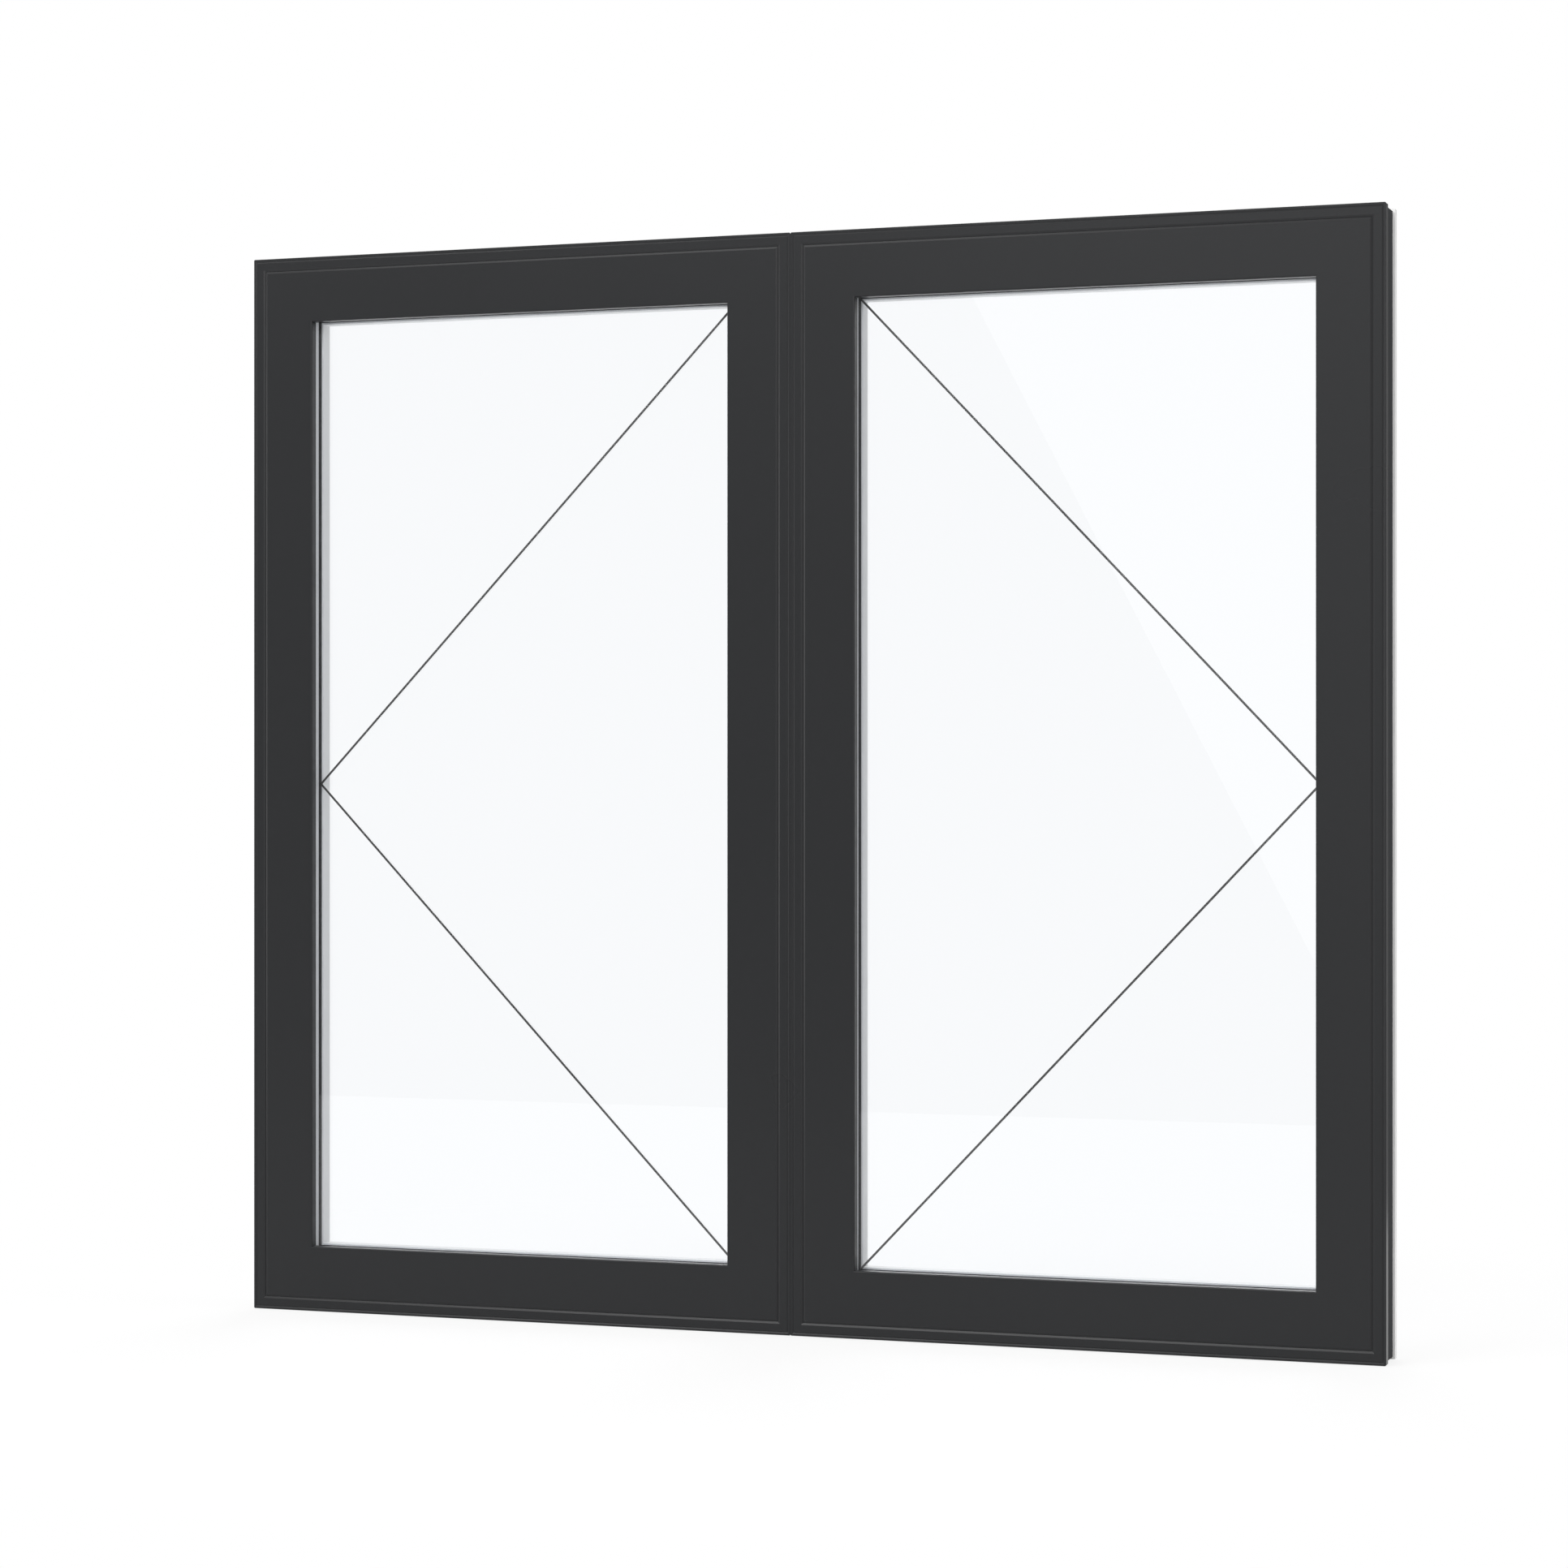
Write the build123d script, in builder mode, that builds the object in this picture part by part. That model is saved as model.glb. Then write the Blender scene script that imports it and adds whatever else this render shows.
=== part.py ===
from build123d import *
import os

os.makedirs("parts", exist_ok=True)

# A double casement window: two equal lights coupled side by side. Each light has an outer frame and a
# glazed sash, both faced outside with aluminium and finished inside in painted timber.
# X runs to the right as seen from outside, Y into the room and Z up. Section sizes are taken inward from
# the edge of a light (across) and back from its outside face (deep).
LIGHT_WIDTH = 650.0
LIGHT_HEIGHT = 1200.0
FRAME_DEPTH = 62.0

# Aluminium face of the outer frame: a hooked channel with one shadow groove
CLAD_FACE = 14.4
CLAD_DEPTH = 11.0
CLAD_WALL = 2.0
CLAD_FOOT = 4.6
EDGE_ROUND = 0.5
EDGE_CHAMFER = 2.2
EDGE_FALL = 1.1
CORNER_EASE = 0.8
GROOVE_START = 2.0
GROOVE_WIDTH = 2.6
GROOVE_DEPTH = 0.8

# Insulating core and white inner frame behind it
CORE_INSET = 2.4
CORE_END = 30.0
INNER_DEPTH = 11.0
INNER_END = 40.0
TIMBER_ROUND = 1.5

# Aluminium face of the sash: a plate with an outer return, two clip legs and a rounded glazing lip
SASH_GAP = 0.3
SASH_FACE = 58.7
SASH_WALL = 1.8
RETURN_DEPTH = 9.0
LIP_DEPTH = 9.5
LIP_SLOPE = 0.2
LIP_ROUND = 1.8
LEG_INSET = 4.0

# Double glazing bedded between two tapes
PANE = 4.0
CAVITY = 12.0
PANE_COVER = 11.4
SPACER_WIDTH = 6.0
SPACER_COVER = 3.5
OUTER_TAPE = 0.5
INNER_TAPE = 1.0
TAPE_WIDTH = 5.0
TAPE_SETBACK = 1.4

# Painted timber of the sash, with its weather seal against the inner frame
SASH_CLEARANCE = 4.0
SEAL_GAP = 2.5
GLASS_CLEARANCE = 2.0
REVEAL_PROUD = 0.6
LEG_TOP = 12.0
SEAL_WIDTH = 3.0
SEAL_INSET = 1.5

# Lever handle on the meeting stile, inside
HANDLE_PLACE = 51.0
BASE_WIDTH = 19.0
BASE_HEIGHT = 70.0
BASE_DEPTH = 8.0
NECK_RADIUS = 6.0
NECK_LENGTH = 22.0
LEVER_WIDTH = 16.0
LEVER_THICK = 10.0
LEVER_LENGTH = 118.0
HANDLE_ROUND = 3.0

# Places worked out from the sizes above
INNER_FRONT = FRAME_DEPTH - INNER_DEPTH
SEAT_DEPTH = INNER_FRONT + INNER_DEPTH / 2
SASH_BACK = INNER_FRONT - SEAL_GAP
SASH_START = CLAD_FACE + SASH_GAP
SASH_END = SASH_START + SASH_FACE
LIP_END = SASH_END + LIP_SLOPE
TIMBER_START = CORE_END + SASH_CLEARANCE
GLASS_EDGE = SASH_END - PANE_COVER
TIMBER_REBATE = GLASS_EDGE - GLASS_CLEARANCE
OUTER_PANE_FRONT = LIP_DEPTH + OUTER_TAPE
INNER_PANE_FRONT = OUTER_PANE_FRONT + PANE + CAVITY
INNER_PANE_BACK = INNER_PANE_FRONT + PANE
STOP_FRONT = INNER_PANE_BACK + INNER_TAPE
REVEAL_EDGE = SASH_END + REVEAL_PROUD
SPACER_END = SASH_END - SPACER_COVER
TAPE_END = SASH_END - TAPE_SETBACK

# Left edge of each light, and the inward direction of each side of a light
LIGHTS = {"left": -LIGHT_WIDTH, "right": 0.0}
INWARD = {
    "left": Vector(1, 0, 0),
    "right": Vector(-1, 0, 0),
    "bottom": Vector(0, 0, 1),
    "top": Vector(0, 0, -1),
}
DEEP = Vector(0, 1, 0)


def deep_y(depth):
    """Y of a depth behind the outside face; the origin lies on the seat under the inner sill."""
    return depth - SEAT_DEPTH


def light_centre(light, depth=0.0):
    """Middle of a light at a depth behind its outside face."""
    return Vector(LIGHTS[light] + LIGHT_WIDTH / 2, deep_y(depth), LIGHT_HEIGHT / 2)


def mitred_bar(light, side, outline, rounded=(), corner_ease=0.0):
    """One side of a light's ring: its section drawn across and deep, drawn out and mitred at 45 degrees.
    The section's corners listed in rounded, as (across, deep, radius), are rounded, and corner_ease is
    how far the light's outer corners are filed back."""
    inward = INWARD[side]
    run = inward.cross(DEEP)
    upright = side in ("left", "right")
    half_run = (LIGHT_HEIGHT if upright else LIGHT_WIDTH) / 2
    half_way_out = (LIGHT_WIDTH if upright else LIGHT_HEIGHT) / 2
    edge_middle = light_centre(light) - inward * half_way_out
    with BuildPart() as bar:
        with BuildSketch(Plane(edge_middle, x_dir=inward, z_dir=run)) as section:
            with BuildLine():
                Polyline(*outline, close=True)
            make_face()
            for across, deep, radius in rounded:
                fillet(section.vertices().sort_by_distance((across, deep, 0))[0], radius=radius)
        extrude(amount=half_run, both=True)
        for end in (run, -run):
            corner = edge_middle + end * half_run
            split(bisect_by=Plane(corner, z_dir=inward + end), keep=Keep.BOTTOM)
            if corner_ease:
                filed = (end - inward).normalized()
                split(bisect_by=Plane(corner - filed * corner_ease, z_dir=filed), keep=Keep.BOTTOM)
    return bar.part


def write_piece(piece, name):
    """Label a finished piece and write it as its own node."""
    piece.label = name
    export_step(piece, f"parts/{name}.step")


def write_ring(light, group, outline, rounded=(), corner_ease=0.0):
    """The four sides of a ring, each side a node of its own."""
    for side in INWARD:
        write_piece(mitred_bar(light, side, outline, rounded, corner_ease), f"{light}_{group}_{side}")


def write_pairs(light, names, outline, rounded=()):
    """The two uprights and the two cross bars of a ring, each pair one node of two separate solids."""
    for name, sides in zip(names, (("left", "right"), ("bottom", "top"))):
        bars = [mitred_bar(light, side, outline, rounded) for side in sides]
        with BuildPart() as pair:
            add(bars)
        write_piece(pair.part, f"{light}_{name}")


def flat_ring(light, outer_edge, inner_edge, front, back):
    """A flat rectangular ring between two section edges, such as a tape or a spacer."""
    with BuildPart() as ring:
        with BuildSketch(Plane(light_centre(light, front), x_dir=(1, 0, 0), z_dir=DEEP)):
            Rectangle(LIGHT_WIDTH - 2 * outer_edge, LIGHT_HEIGHT - 2 * outer_edge)
            Rectangle(LIGHT_WIDTH - 2 * inner_edge, LIGHT_HEIGHT - 2 * inner_edge, mode=Mode.SUBTRACT)
        extrude(amount=back - front)
    return ring.part


# Frame cladding: a channel with a foot on the core, a shadow groove near its outer edge and an inner edge
# that falls away, so that with the sash's own edge it makes one shallow groove at the joint
groove_end = GROOVE_START + GROOVE_WIDTH
plate_back = GROOVE_DEPTH + CLAD_WALL
frame_cladding = [
    (0, 0),
    (GROOVE_START, 0),
    (GROOVE_START + GROOVE_WIDTH / 2, GROOVE_DEPTH),
    (groove_end, 0),
    (CLAD_FACE - EDGE_CHAMFER, 0),
    (CLAD_FACE, EDGE_FALL),
    (CLAD_FACE, CLAD_DEPTH),
    (CLAD_FACE - CLAD_WALL, CLAD_DEPTH),
    (CLAD_FACE - CLAD_WALL, plate_back),
    (CLAD_WALL, plate_back),
    (CLAD_WALL, CLAD_DEPTH - CLAD_WALL),
    (CLAD_FOOT, CLAD_DEPTH - CLAD_WALL),
    (CLAD_FOOT, CLAD_DEPTH),
    (0, CLAD_DEPTH),
]
frame_cladding_rounds = [(0, 0, EDGE_ROUND)]

# Core: a plain insulating bar between the cladding and the inner frame
core = [
    (CORE_INSET, CLAD_DEPTH),
    (CORE_END, CLAD_DEPTH),
    (CORE_END, INNER_FRONT),
    (CORE_INSET, INNER_FRONT),
]

# Inner frame: a flat painted bar that reaches behind the sash as its stop
inner_frame = [
    (0, INNER_FRONT),
    (INNER_END, INNER_FRONT),
    (INNER_END, FRAME_DEPTH),
    (0, FRAME_DEPTH),
]
inner_frame_rounds = [(INNER_END, FRAME_DEPTH, TIMBER_ROUND)]

# Sash cladding: a plate with an outer return, clip legs on the timber and a rounded lip on the glass
first_leg = TIMBER_START + LEG_INSET
second_leg = TIMBER_REBATE - LEG_INSET
sash_cladding = [
    (SASH_START + EDGE_CHAMFER, 0),
    (SASH_END, 0),
    (LIP_END, LIP_DEPTH),
    (LIP_END - SASH_WALL, LIP_DEPTH),
    (SASH_END - SASH_WALL, SASH_WALL),
    (second_leg, SASH_WALL),
    (second_leg, LEG_TOP),
    (second_leg - SASH_WALL, LEG_TOP),
    (second_leg - SASH_WALL, SASH_WALL),
    (first_leg + SASH_WALL, SASH_WALL),
    (first_leg + SASH_WALL, LEG_TOP),
    (first_leg, LEG_TOP),
    (first_leg, SASH_WALL),
    (SASH_START + SASH_WALL, SASH_WALL),
    (SASH_START + SASH_WALL, RETURN_DEPTH),
    (SASH_START, RETURN_DEPTH),
    (SASH_START, EDGE_FALL),
]
sash_cladding_rounds = [(SASH_END, 0, LIP_ROUND)]

# Sash timber: an upright leg beside the glass and a stop behind it, which shows as the white reveal
sash_timber = [
    (TIMBER_START, LEG_TOP),
    (TIMBER_REBATE, LEG_TOP),
    (TIMBER_REBATE, STOP_FRONT),
    (REVEAL_EDGE, STOP_FRONT),
    (REVEAL_EDGE, SASH_BACK),
    (TIMBER_START, SASH_BACK),
]
sash_timber_rounds = [(REVEAL_EDGE, SASH_BACK, TIMBER_ROUND)]

for light in LIGHTS:
    write_ring(light, "frame_cladding", frame_cladding, frame_cladding_rounds, CORNER_EASE)
    write_ring(light, "inner_frame", inner_frame, inner_frame_rounds)
    write_ring(light, "sash_cladding", sash_cladding, sash_cladding_rounds)
    write_pairs(light, ("core_jambs", "core_rails"), core)
    write_pairs(light, ("sash_stiles", "sash_rails"), sash_timber, sash_timber_rounds)

    # Two panes with a spacer ring between them
    with BuildPart() as panes:
        for front in (OUTER_PANE_FRONT, INNER_PANE_FRONT):
            with BuildSketch(Plane(light_centre(light, front), x_dir=(1, 0, 0), z_dir=DEEP)):
                Rectangle(LIGHT_WIDTH - 2 * GLASS_EDGE, LIGHT_HEIGHT - 2 * GLASS_EDGE)
            extrude(amount=PANE)
    write_piece(panes.part, f"{light}_glass_panes")

    spacer_start = SPACER_END - SPACER_WIDTH
    spacer = flat_ring(light, spacer_start, SPACER_END, OUTER_PANE_FRONT + PANE, INNER_PANE_FRONT)
    write_piece(spacer, f"{light}_glass_spacer")

    # Tapes that bed the glass: the outer one under the lip, the inner one on the timber stop
    outer_tape = flat_ring(light, LIP_END - TAPE_WIDTH, LIP_END, LIP_DEPTH, OUTER_PANE_FRONT)
    inner_tape = flat_ring(light, TAPE_END - TAPE_WIDTH, TAPE_END, INNER_PANE_BACK, STOP_FRONT)
    with BuildPart() as tapes:
        add([outer_tape, inner_tape])
    write_piece(tapes.part, f"{light}_glazing_tapes")

    seal_start = TIMBER_START + SEAL_INSET
    seal = flat_ring(light, seal_start, seal_start + SEAL_WIDTH, SASH_BACK, INNER_FRONT)
    write_piece(seal, f"{light}_weather_seal")

    # Handle on the stile nearest the other light, its lever hanging down when shut
    handle_x = -HANDLE_PLACE if light == "left" else HANDLE_PLACE
    handle_z = LIGHT_HEIGHT / 2
    with BuildPart() as base:
        with BuildSketch(Plane((handle_x, deep_y(SASH_BACK), handle_z), x_dir=(1, 0, 0), z_dir=DEEP)):
            RectangleRounded(BASE_WIDTH, BASE_HEIGHT, HANDLE_ROUND)
        extrude(amount=BASE_DEPTH)
        fillet(base.faces().sort_by(Axis.Y)[-1].edges(), radius=HANDLE_ROUND / 2)
    write_piece(base.part, f"{light}_handle_base")

    neck_start = deep_y(SASH_BACK + BASE_DEPTH)
    with BuildPart() as lever:
        with BuildSketch(Plane((handle_x, neck_start, handle_z), x_dir=(1, 0, 0), z_dir=DEEP)):
            Circle(NECK_RADIUS)
        extrude(amount=NECK_LENGTH)
        with BuildSketch(Plane((handle_x, neck_start + NECK_LENGTH, handle_z), x_dir=(1, 0, 0), z_dir=DEEP)):
            with Locations((0, (LEVER_LENGTH - LEVER_WIDTH) / 2)):
                SlotOverall(LEVER_LENGTH, LEVER_WIDTH, rotation=90)
        extrude(amount=LEVER_THICK)
        fillet(lever.faces().sort_by(Axis.Y)[-1].edges(), radius=HANDLE_ROUND)
    write_piece(lever.part, f"{light}_handle_lever")

# Coupling strip: fills the joint between the cores of the two lights
with BuildPart() as coupling_strip:
    strip_middle = Vector(0, deep_y((CLAD_DEPTH + INNER_FRONT) / 2), LIGHT_HEIGHT / 2)
    with BuildSketch(Plane(strip_middle, x_dir=(1, 0, 0), z_dir=(0, 0, 1))):
        Rectangle(2 * CORE_INSET, INNER_FRONT - CLAD_DEPTH)
    extrude(amount=LIGHT_HEIGHT / 2 - CORE_INSET, both=True)
write_piece(coupling_strip.part, "coupling_strip")
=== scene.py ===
import math
import bmesh
import bpy
from mathutils import Matrix, Vector


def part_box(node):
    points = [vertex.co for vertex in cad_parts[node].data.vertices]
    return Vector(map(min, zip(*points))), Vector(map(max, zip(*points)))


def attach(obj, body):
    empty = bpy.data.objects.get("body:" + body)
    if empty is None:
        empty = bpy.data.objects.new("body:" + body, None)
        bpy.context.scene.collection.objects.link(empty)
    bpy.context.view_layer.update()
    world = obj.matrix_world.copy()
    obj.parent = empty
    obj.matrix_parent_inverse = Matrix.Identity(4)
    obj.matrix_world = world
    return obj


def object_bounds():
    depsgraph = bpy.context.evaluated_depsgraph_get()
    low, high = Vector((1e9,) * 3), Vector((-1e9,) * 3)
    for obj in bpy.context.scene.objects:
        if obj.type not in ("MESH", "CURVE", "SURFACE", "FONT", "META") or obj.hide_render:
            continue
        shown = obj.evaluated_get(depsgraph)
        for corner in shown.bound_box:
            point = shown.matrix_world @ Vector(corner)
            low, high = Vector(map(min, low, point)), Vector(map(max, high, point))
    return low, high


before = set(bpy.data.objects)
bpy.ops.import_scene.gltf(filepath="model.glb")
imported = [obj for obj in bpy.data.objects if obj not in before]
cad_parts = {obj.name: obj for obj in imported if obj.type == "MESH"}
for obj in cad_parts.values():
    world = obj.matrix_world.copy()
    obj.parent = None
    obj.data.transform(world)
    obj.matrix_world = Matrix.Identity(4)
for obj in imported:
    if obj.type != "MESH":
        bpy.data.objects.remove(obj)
cad_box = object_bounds()

# Inner frame and sash timber of the two lights, the window's glazed halves: planed softwood bars,
# mitred, primed and sprayed white. The paint is satin and even, and the grain telegraphs faintly
# through it along each bar.
LIGHTS = ("left", "right")
SPRAYED_WHITE = (0.80, 0.80, 0.795)
GRAIN_ALONG = 0.03
GRAIN_DETAIL = 3.0
CLOUD_DETAIL = 4.0
NOISE_MIDDLE = 0.5
GRAIN_RELIEF = 0.0002


def new_material(name, roughness):
    """A material with its node tree cleared to one Principled shader and an output."""
    material = bpy.data.materials.new(name)
    material.use_nodes = True
    nodes = material.node_tree.nodes
    nodes.clear()
    shader = nodes.new("ShaderNodeBsdfPrincipled")
    shader.inputs["Roughness"].default_value = roughness
    output = nodes.new("ShaderNodeOutputMaterial")
    material.node_tree.links.new(shader.outputs["BSDF"], output.inputs["Surface"])
    return material, shader


def math_node(tree, operation, first, second):
    """The result of a Math node, each side of which is a socket or a plain number."""
    node = tree.nodes.new("ShaderNodeMath")
    node.operation = operation
    for socket, value in zip(node.inputs, (first, second)):
        if isinstance(value, float):
            socket.default_value = value
        else:
            tree.links.new(value, socket)
    return node.outputs["Value"]


def surface_grain_group():
    """Even speckle on Object coordinates: a tinted colour, a roughness and a bump height."""
    group = bpy.data.node_groups.new("surface_grain", "ShaderNodeTree")
    sockets = group.interface
    sockets.new_socket("Color", in_out="INPUT", socket_type="NodeSocketColor")
    for name in ("Roughness", "Grain Scale", "Cloud Scale", "Tint Spread", "Roughness Spread"):
        sockets.new_socket(name, in_out="INPUT", socket_type="NodeSocketFloat")
    sockets.new_socket("Stretch", in_out="INPUT", socket_type="NodeSocketVector")
    sockets.new_socket("Color", in_out="OUTPUT", socket_type="NodeSocketColor")
    sockets.new_socket("Roughness", in_out="OUTPUT", socket_type="NodeSocketFloat")
    sockets.new_socket("Height", in_out="OUTPUT", socket_type="NodeSocketFloat")
    nodes = group.nodes
    link = group.links.new
    given = nodes.new("NodeGroupInput")
    made = nodes.new("NodeGroupOutput")
    place = nodes.new("ShaderNodeTexCoord")
    stretched = nodes.new("ShaderNodeVectorMath")
    stretched.operation = "MULTIPLY"
    link(place.outputs["Object"], stretched.inputs[0])
    link(given.outputs["Stretch"], stretched.inputs[1])
    grain = nodes.new("ShaderNodeTexNoise")
    grain.inputs["Detail"].default_value = GRAIN_DETAIL
    link(stretched.outputs["Vector"], grain.inputs["Vector"])
    link(given.outputs["Grain Scale"], grain.inputs["Scale"])
    cloud = nodes.new("ShaderNodeTexNoise")
    cloud.inputs["Detail"].default_value = CLOUD_DETAIL
    link(place.outputs["Object"], cloud.inputs["Vector"])
    link(given.outputs["Cloud Scale"], cloud.inputs["Scale"])

    def swing(spread, middle):
        """The middle value, moved up and down by the cloud over the whole spread."""
        centred = math_node(group, "SUBTRACT", cloud.outputs["Fac"], NOISE_MIDDLE)
        return math_node(group, "ADD", math_node(group, "MULTIPLY", centred, spread), middle)

    tinted = nodes.new("ShaderNodeVectorMath")
    tinted.operation = "SCALE"
    link(given.outputs["Color"], tinted.inputs[0])
    link(swing(given.outputs["Tint Spread"], 1.0), tinted.inputs["Scale"])
    link(tinted.outputs["Vector"], made.inputs["Color"])
    rough = swing(given.outputs["Roughness Spread"], given.outputs["Roughness"])
    link(rough, made.inputs["Roughness"])
    link(grain.outputs["Fac"], made.inputs["Height"])
    return group


surface_grain = surface_grain_group()


def grained(
    name,
    color,
    roughness,
    grain_scale,
    cloud_scale,
    tint_spread,
    roughness_spread,
    bump,
    stretch=(1, 1, 1),
):
    """A finish whose colour, roughness and bump come from the shared speckle."""
    material, shader = new_material(name, roughness)
    nodes = material.node_tree.nodes
    link = material.node_tree.links.new
    speckle = nodes.new("ShaderNodeGroup")
    speckle.node_tree = surface_grain
    speckle.inputs["Color"].default_value = (*color, 1.0)
    speckle.inputs["Roughness"].default_value = roughness
    speckle.inputs["Grain Scale"].default_value = grain_scale
    speckle.inputs["Cloud Scale"].default_value = cloud_scale
    speckle.inputs["Tint Spread"].default_value = tint_spread
    speckle.inputs["Roughness Spread"].default_value = roughness_spread
    speckle.inputs["Stretch"].default_value = stretch
    link(speckle.outputs["Color"], shader.inputs["Base Color"])
    link(speckle.outputs["Roughness"], shader.inputs["Roughness"])
    relief = nodes.new("ShaderNodeBump")
    relief.inputs["Strength"].default_value = bump
    relief.inputs["Distance"].default_value = GRAIN_RELIEF
    link(speckle.outputs["Height"], relief.inputs["Height"])
    link(relief.outputs["Normal"], shader.inputs["Normal"])
    return material, shader


def both_lights(*pieces):
    """The node names of these pieces in the left and the right light."""
    return [f"{light}_{piece}" for light in LIGHTS for piece in pieces]


def finish_nodes(material, *names):
    """Give CAD nodes one finish."""
    for name in names:
        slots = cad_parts[name].data.materials
        slots.clear()
        slots.append(material)


for run, stretch, sides, sash_bars in (
    ("upright", (1, 1, GRAIN_ALONG), ("left", "right"), "sash_stiles"),
    ("level", (GRAIN_ALONG, 1, 1), ("bottom", "top"), "sash_rails"),
):
    white_paint, _ = grained(
        f"white_paint_{run}",
        SPRAYED_WHITE,
        roughness=0.38,
        grain_scale=420.0,
        cloud_scale=6.0,
        tint_spread=0.015,
        roughness_spread=0.04,
        bump=0.14,
        stretch=stretch,
    )
    inner_bars = [f"inner_frame_{side}" for side in sides]
    finish_nodes(white_paint, *both_lights(sash_bars, *inner_bars))

# Core: dark moulded insulating bars between the aluminium and the timber, with the strip that
# couples the two lights. The moulded skin is matte, with a fine even pit.
CORE_GREY = (0.033, 0.034, 0.036)
CORE_SHEEN = 0.06
core_skin, core_shader = grained(
    "core_skin",
    CORE_GREY,
    roughness=0.72,
    grain_scale=700.0,
    cloud_scale=9.0,
    tint_spread=0.08,
    roughness_spread=0.06,
    bump=0.35,
)
core_shader.inputs["Specular IOR Level"].default_value = CORE_SHEEN
finish_nodes(core_skin, "coupling_strip", *both_lights("core_jambs", "core_rails"))

# Cladding of frame and sash: extruded aluminium bars, cut at 45 degrees and powder coated in
# anthracite. The coat is satin, with the fine orange peel that powder leaves when it flows out.
SIDES = ("left", "right", "bottom", "top")
ANTHRACITE = (0.0243, 0.0249, 0.0262)
COAT_SHEEN = 0.15
powder_coat, powder_shader = grained(
    "powder_coat",
    ANTHRACITE,
    roughness=0.28,
    grain_scale=1100.0,
    cloud_scale=5.0,
    tint_spread=0.05,
    roughness_spread=0.03,
    bump=0.10,
)
powder_shader.inputs["Specular IOR Level"].default_value = COAT_SHEEN
for side in SIDES:
    finish_nodes(powder_coat, *both_lights(f"frame_cladding_{side}", f"sash_cladding_{side}"))

# Edge spacer of the sealed glazing: a folded strip of dull grey metal that runs all round. It is
# bonded between the two panes and shows through the outer one as a narrow band.
SPACER_GREY = (0.72, 0.73, 0.74)
SPACER_METALLIC = 0.2
spacer_metal, spacer_shader = grained(
    "spacer_metal",
    SPACER_GREY,
    roughness=0.45,
    grain_scale=300.0,
    cloud_scale=20.0,
    tint_spread=0.06,
    roughness_spread=0.05,
    bump=0.08,
)
spacer_shader.inputs["Metallic"].default_value = SPACER_METALLIC
finish_nodes(spacer_metal, *both_lights("glass_spacer"))

# Glazing tapes and weather seals: strips of matte black rubber that run all round. The tapes bed
# the glass under the aluminium lip and on the timber stop, and each seal is squeezed between the
# sash and the inner frame.
RUBBER_BLACK = (0.030, 0.030, 0.031)
seal_rubber, _ = grained(
    "seal_rubber",
    RUBBER_BLACK,
    roughness=0.7,
    grain_scale=900.0,
    cloud_scale=12.0,
    tint_spread=0.1,
    roughness_spread=0.05,
    bump=0.3,
)
finish_nodes(seal_rubber, *both_lights("glazing_tapes", "weather_seal"))

# Panes: clear float glass, two to a light, sealed at the edge. Light on its way to the reveals and
# spacers goes straight through and loses a little at each face; only the view is bent.
GLASS_TINT = (0.985, 0.992, 1.0)
FACE_PASSES = (0.955, 0.96, 0.97)
GLASS_IOR = 1.45
GLASS_SHEEN = 0.2


def any_ray(tree, *kinds):
    """1 where a ray is of any of these kinds, otherwise 0."""
    rays = tree.nodes.new("ShaderNodeLightPath")
    found = rays.outputs[kinds[0]]
    for kind in kinds[1:]:
        found = math_node(tree, "MAXIMUM", found, rays.outputs[kind])
    return found


def mix_surface(tree, output, share, first, second):
    """Send a mix of two shaders to an output, with this share of the second."""
    mix = tree.nodes.new("ShaderNodeMixShader")
    tree.links.new(share, mix.inputs["Fac"])
    tree.links.new(first, mix.inputs[1])
    tree.links.new(second, mix.inputs[2])
    tree.links.new(mix.outputs["Shader"], output.inputs["Surface"])


pane_glass, pane_shader = new_material("pane_glass", roughness=0.0)
pane_shader.inputs["Base Color"].default_value = (*GLASS_TINT, 1.0)
pane_shader.inputs["Transmission Weight"].default_value = 1.0
pane_shader.inputs["IOR"].default_value = GLASS_IOR
pane_shader.inputs["Specular IOR Level"].default_value = GLASS_SHEEN
pane_tree = pane_glass.node_tree
straight_way = pane_tree.nodes.new("ShaderNodeBsdfTransparent")
straight_way.inputs["Color"].default_value = (*FACE_PASSES, 1.0)
mix_surface(
    pane_tree,
    pane_tree.nodes["Material Output"],
    any_ray(pane_tree, "Is Shadow Ray", "Is Diffuse Ray"),
    pane_shader.outputs["BSDF"],
    straight_way.outputs["BSDF"],
)
finish_nodes(pane_glass, *both_lights("glass_panes"))

# Opening marks: a thin dark line on the inner pane, inside the sealed gap, from the two corners by
# the centre joint to the middle of the outer jamb. Two strips meet in a mitre at that point.
MARK_WIDTH = 0.0024
MARK_THICK = 0.0004
MARK_INSET = 0.011
MARK_MERGE = 0.00001
PANE_THICK = 0.004
MARK_INK = (0.006, 0.006, 0.006)
mark_ink, _ = grained(
    "mark_ink",
    MARK_INK,
    roughness=0.5,
    grain_scale=500.0,
    cloud_scale=30.0,
    tint_spread=0.05,
    roughness_spread=0.03,
    bump=0.05,
)


def whole_shape(shape):
    """Every vertex, edge and face of a bmesh."""
    return shape.verts[:] + shape.edges[:] + shape.faces[:]


def cut_off(shape, at, outward):
    """Cut a bmesh by a plane, drop what lies beyond it and give the edges of the open rim."""
    cut = bmesh.ops.bisect_plane(
        shape, geom=whole_shape(shape), plane_co=at, plane_no=outward, clear_outer=True
    )
    return [part for part in cut["geom_cut"] if isinstance(part, bmesh.types.BMEdge)]


def add_object(name, data):
    """A new object in the scene, at the origin."""
    thing = bpy.data.objects.new(name, data)
    bpy.context.scene.collection.objects.link(thing)
    return thing


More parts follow.
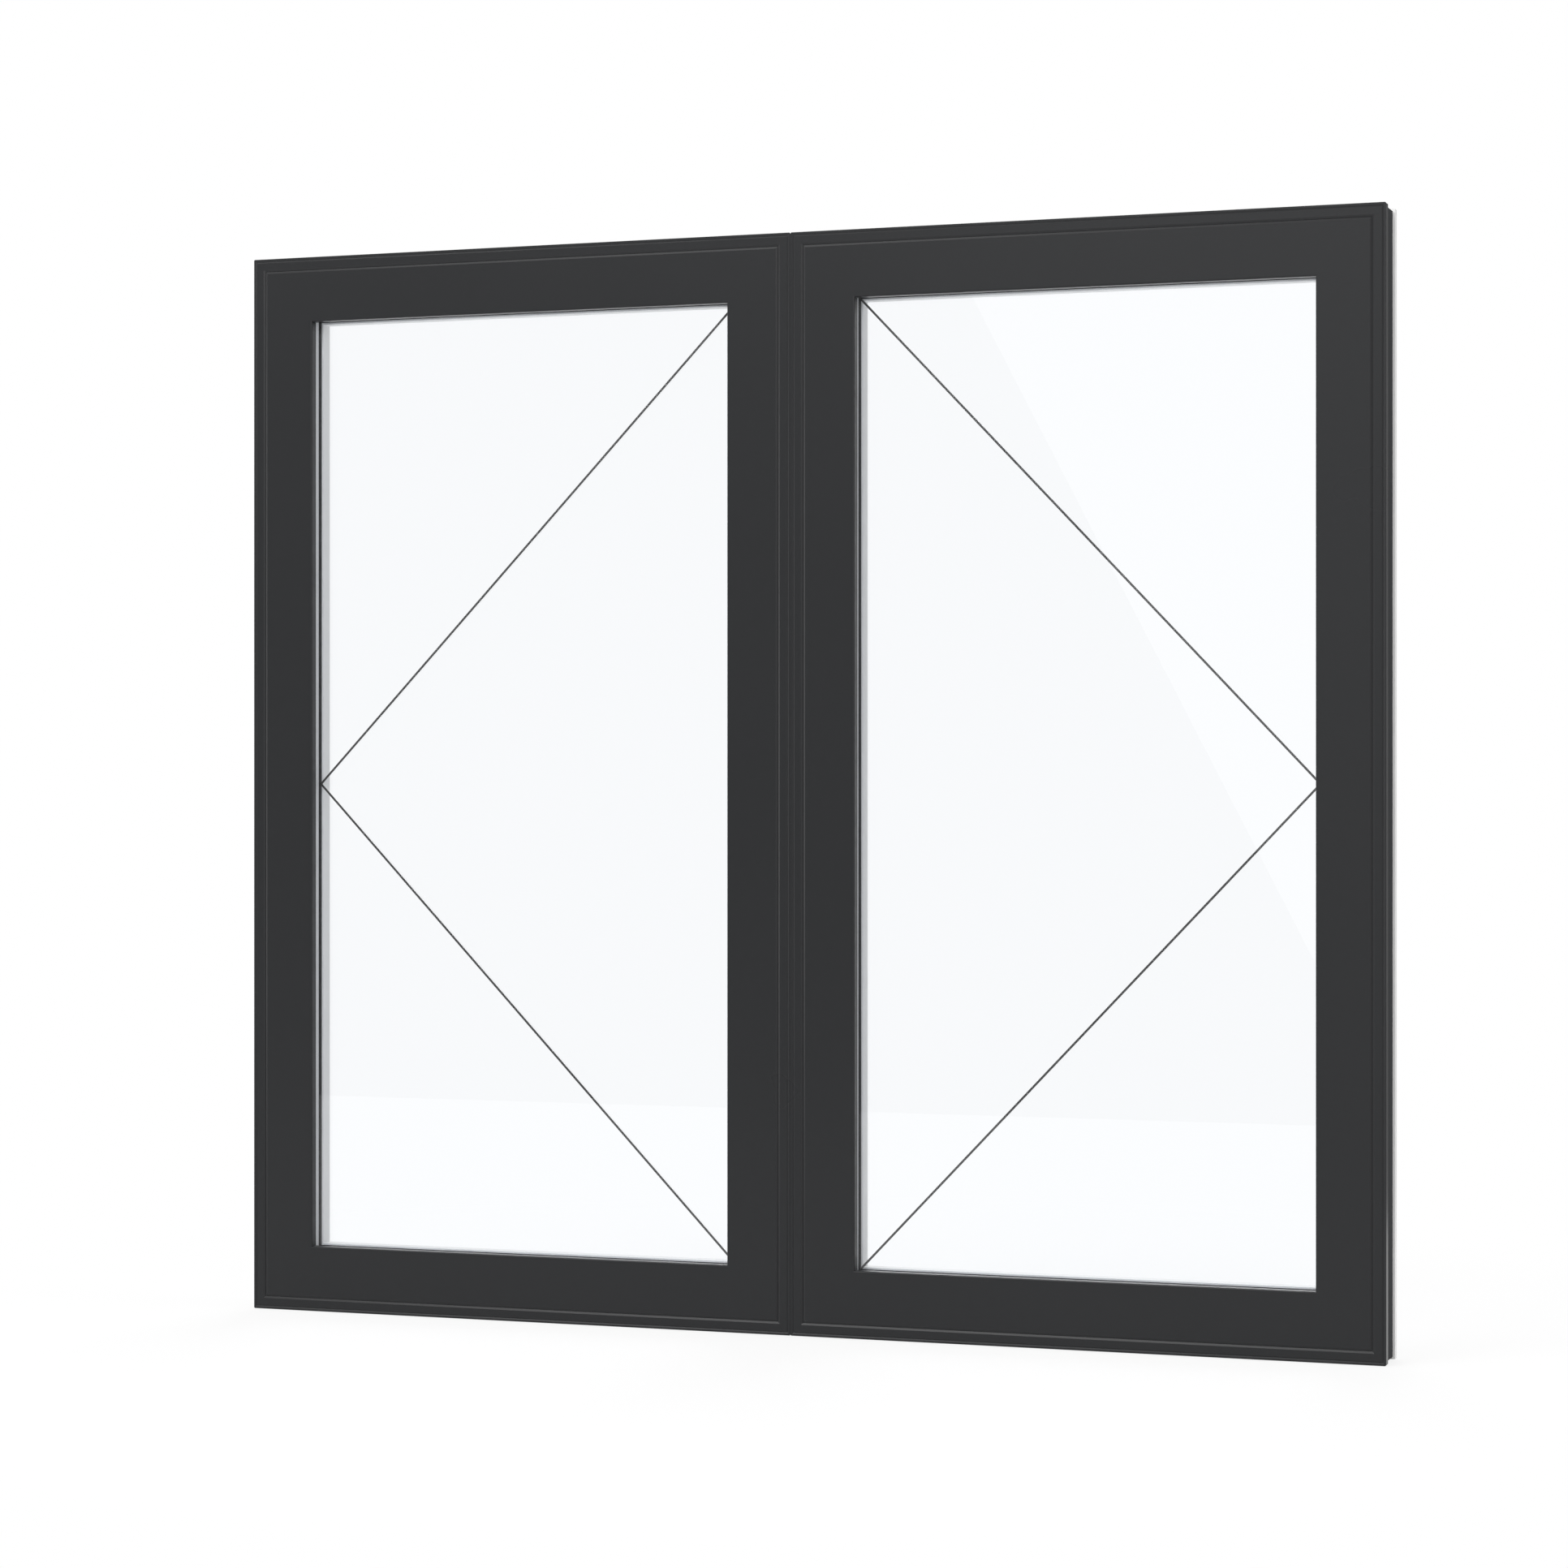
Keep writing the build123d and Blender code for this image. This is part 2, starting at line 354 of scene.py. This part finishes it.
def mesh_object(name, shape, material):
    """A finished bmesh as an object of one material."""
    mesh = bpy.data.meshes.new(name)
    shape.to_mesh(mesh)
    shape.free()
    mesh.materials.append(material)
    return add_object(name, mesh)


for light, outer_side in zip(LIGHTS, (-1, 1)):
    pane_low, pane_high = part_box(f"{light}_glass_panes")
    inset = Vector((MARK_INSET, 0, MARK_INSET))
    low, high = pane_low + inset, pane_high - inset
    middle_z = (low.z + high.z) / 2
    outer_x, inner_x = (low.x, high.x) if outer_side < 0 else (high.x, low.x)
    mark_y = pane_high.y - PANE_THICK - MARK_THICK / 2
    apex = Vector((outer_x, mark_y, middle_z))
    arm = Vector((inner_x - outer_x, 0, high.z - middle_z))
    lean = math.atan2(arm.z, arm.x)
    # One strip, centred on the apex and twice as long as an arm. Its lower half is cut off at the
    # mitre, its upper end is trimmed plumb and closed, and what is left is mirrored downwards.
    mark = bmesh.new()
    strip = bmesh.ops.create_cube(mark, size=1.0)["verts"]
    bmesh.ops.scale(mark, vec=(2 * arm.length, MARK_THICK, MARK_WIDTH), verts=strip)
    bmesh.ops.rotate(mark, cent=(0, 0, 0), matrix=Matrix.Rotation(-lean, 3, "Y"), verts=strip)
    bmesh.ops.translate(mark, vec=apex, verts=strip)
    cut_off(mark, apex, Vector((0, 0, -1)))
    end_rim = cut_off(mark, apex + arm, Vector((-outer_side, 0, 0)))
    bmesh.ops.contextual_create(mark, geom=end_rim)
    to_apex = Matrix.Translation(-apex)
    bmesh.ops.mirror(
        mark, geom=whole_shape(mark), matrix=to_apex, merge_dist=MARK_MERGE, axis="Z"
    )
    bmesh.ops.recalc_face_normals(mark, faces=mark.faces[:])
    mark_object = mesh_object(f"{light}_opening_mark", mark, mark_ink)
    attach(mark_object, "root")

# Lever handles inside, one on each meeting stile: die cast and satin anodised. Each stands on a
# low base plate that is fixed to the timber, and its lever points down when the sash is shut.
HANDLE_GREY = (0.60, 0.60, 0.605)
HANDLE_METALLIC = 0.9
handle_metal, handle_shader = grained(
    "handle_metal",
    HANDLE_GREY,
    roughness=0.34,
    grain_scale=500.0,
    cloud_scale=25.0,
    tint_spread=0.03,
    roughness_spread=0.05,
    bump=0.06,
)
handle_shader.inputs["Metallic"].default_value = HANDLE_METALLIC
finish_nodes(handle_metal, *both_lights("handle_base", "handle_lever"))

# Floor: a wide pale sheet just under the sill. It shows white to the camera and in reflections,
# and keeps a soft part of the shadow, which fades out beyond the window.
FLOOR_SIZE = 40.0
FLOOR_DROP = 0.0005
FLOOR_WHITE = (0.9, 0.9, 0.9)
FLOOR_SHEEN = 0.0
SEEN_RAYS = ("Is Camera Ray", "Is Glossy Ray", "Is Transmission Ray")
WHITE_STRENGTH = 1.0
SHADOW_SHARE = 0.2
SHADOW_FULL = 0.5
SHADOW_GONE = 1.3
floor_paper, floor_shader = new_material("floor_paper", roughness=0.9)
floor_shader.inputs["Base Color"].default_value = (*FLOOR_WHITE, 1.0)
floor_shader.inputs["Specular IOR Level"].default_value = FLOOR_SHEEN
floor_tree = floor_paper.node_tree
white_glow = floor_tree.nodes.new("ShaderNodeEmission")
white_glow.inputs["Strength"].default_value = WHITE_STRENGTH
floor_place = floor_tree.nodes.new("ShaderNodeTexCoord")
way_off = floor_tree.nodes.new("ShaderNodeVectorMath")
way_off.operation = "LENGTH"
floor_tree.links.new(floor_place.outputs["Object"], way_off.inputs[0])
white_share = floor_tree.nodes.new("ShaderNodeMapRange")
white_share.interpolation_type = "SMOOTHSTEP"
white_share.inputs["From Min"].default_value = SHADOW_FULL
white_share.inputs["From Max"].default_value = SHADOW_GONE
white_share.inputs["To Min"].default_value = 1.0 - SHADOW_SHARE
white_share.inputs["To Max"].default_value = 1.0
floor_tree.links.new(way_off.outputs["Value"], white_share.inputs["Value"])
floor_seen = any_ray(floor_tree, *SEEN_RAYS)
mix_surface(
    floor_tree,
    floor_tree.nodes["Material Output"],
    math_node(floor_tree, "MULTIPLY", floor_seen, white_share.outputs["Result"]),
    floor_shader.outputs["BSDF"],
    white_glow.outputs["Emission"],
)
floor_sheet = bmesh.new()
bmesh.ops.create_grid(floor_sheet, x_segments=1, y_segments=1, size=FLOOR_SIZE / 2)
bmesh.ops.translate(floor_sheet, vec=(0, 0, cad_box[0][2] - FLOOR_DROP), verts=floor_sheet.verts[:])
floor = mesh_object("floor", floor_sheet, floor_paper)

# Studio: an even white surround with six soft lamps, each given by its place, size and power. Two
# strips high in front and one far to the left light the sloping edges, and the others fill the
# front, the right edge and the room side.
SURROUND_LIGHT = 0.52
BACKDROP_WHITE = (1, 1, 1, 1)
LAMPS = (
    ("high_lamp", (-1.05, -2.8, 2.75), (2.6, 0.8), 62.0),
    ("top_lamp", (-1.4, -2.0, 4.7), (2.4, 0.8), 28.0),
    ("front_lamp", (1.4, -3.5, 2.6), (2.0, 2.0), 44.0),
    ("left_lamp", (-4.2, -1.1, 0.8), (0.45, 1.6), 18.0),
    ("right_lamp", (3.9, -0.03, 1.9), (0.4, 1.6), 41.0),
    ("room_lamp", (-0.5, 3.4, 2.9), (2.2, 2.2), 70.0),
)
world = bpy.data.worlds.new("studio")
bpy.context.scene.world = world
world.use_nodes = True
world_tree = world.node_tree
world_tree.nodes.clear()
surround = world_tree.nodes.new("ShaderNodeBackground")
surround.inputs["Strength"].default_value = SURROUND_LIGHT
backdrop = world_tree.nodes.new("ShaderNodeBackground")
backdrop.inputs["Color"].default_value = BACKDROP_WHITE
backdrop.inputs["Strength"].default_value = WHITE_STRENGTH
mix_surface(
    world_tree,
    world_tree.nodes.new("ShaderNodeOutputWorld"),
    any_ray(world_tree, *SEEN_RAYS),
    surround.outputs["Background"],
    backdrop.outputs["Background"],
)
window_middle = Vector((0, 0, (cad_box[0][2] + cad_box[1][2]) / 2))
for name, place, size, power in LAMPS:
    lamp = bpy.data.lights.new(name, "AREA")
    lamp.shape = "RECTANGLE"
    lamp.size, lamp.size_y = size
    lamp.energy = power
    lamp_object = add_object(name, lamp)
    lamp_object.location = place
    aim = window_middle - lamp_object.location
    lamp_object.rotation_euler = aim.to_track_quat("-Z", "Y").to_euler()

# Flags: two dark cards, one in front with its right edge leaning to the left, and one behind to
# the right, each given by its Y, its corners in X and Z, and its tone. They show only in gloss,
# where they keep the coated faces and the right edge deep in tone.
FLAGS = (
    ("front_flag", -2.7, ((-2.9, 0.0), (0.2, 0.0), (-0.9, 2.1), (-2.9, 2.2)), 0.12),
    ("side_flag", 1.2, ((0.68, 0.0), (2.6, 0.0), (2.6, 2.4), (0.68, 2.4)), 0.28),
)
for name, flag_y, corners, tone in FLAGS:
    flag_cloth = bpy.data.materials.new(f"{name}_cloth")
    flag_cloth.use_nodes = True
    flag_nodes = flag_cloth.node_tree.nodes
    flag_nodes.clear()
    flag_glow = flag_nodes.new("ShaderNodeEmission")
    flag_glow.inputs["Strength"].default_value = tone
    flag_output = flag_nodes.new("ShaderNodeOutputMaterial")
    flag_cloth.node_tree.links.new(flag_glow.outputs["Emission"], flag_output.inputs["Surface"])
    card = bmesh.new()
    card.faces.new([card.verts.new((x, flag_y, z)) for x, z in corners])
    flag = mesh_object(name, card, flag_cloth)
    flag.visible_camera = False
    flag.visible_diffuse = False
    flag.visible_transmission = False
    flag.visible_shadow = False

# Camera: level with the window's middle and to the right of it, as the photograph was taken, and
# turned back to the left. Its lens gives the photograph's focal length in pixels.
VIEW_LEVEL = math.radians(90)
VIEW_TURN = math.radians(19.262)
CAMERA_RIGHT = 1.3338
CAMERA_OFF_FACE = 3.8374
FOCAL_PIXELS = 4602.5
IMAGE_PIXELS = 1932.0
SENSOR_WIDTH = 36.0
camera = bpy.data.cameras.new("camera")
camera.sensor_width = SENSOR_WIDTH
camera.lens = SENSOR_WIDTH * FOCAL_PIXELS / IMAGE_PIXELS
camera_object = add_object("camera", camera)
camera_object.location = (CAMERA_RIGHT, cad_box[0][1] - CAMERA_OFF_FACE, window_middle.z)
camera_object.rotation_euler = (VIEW_LEVEL, 0, VIEW_TURN)
bpy.context.scene.camera = camera_object
bpy.context.scene.view_settings.view_transform = "Standard"
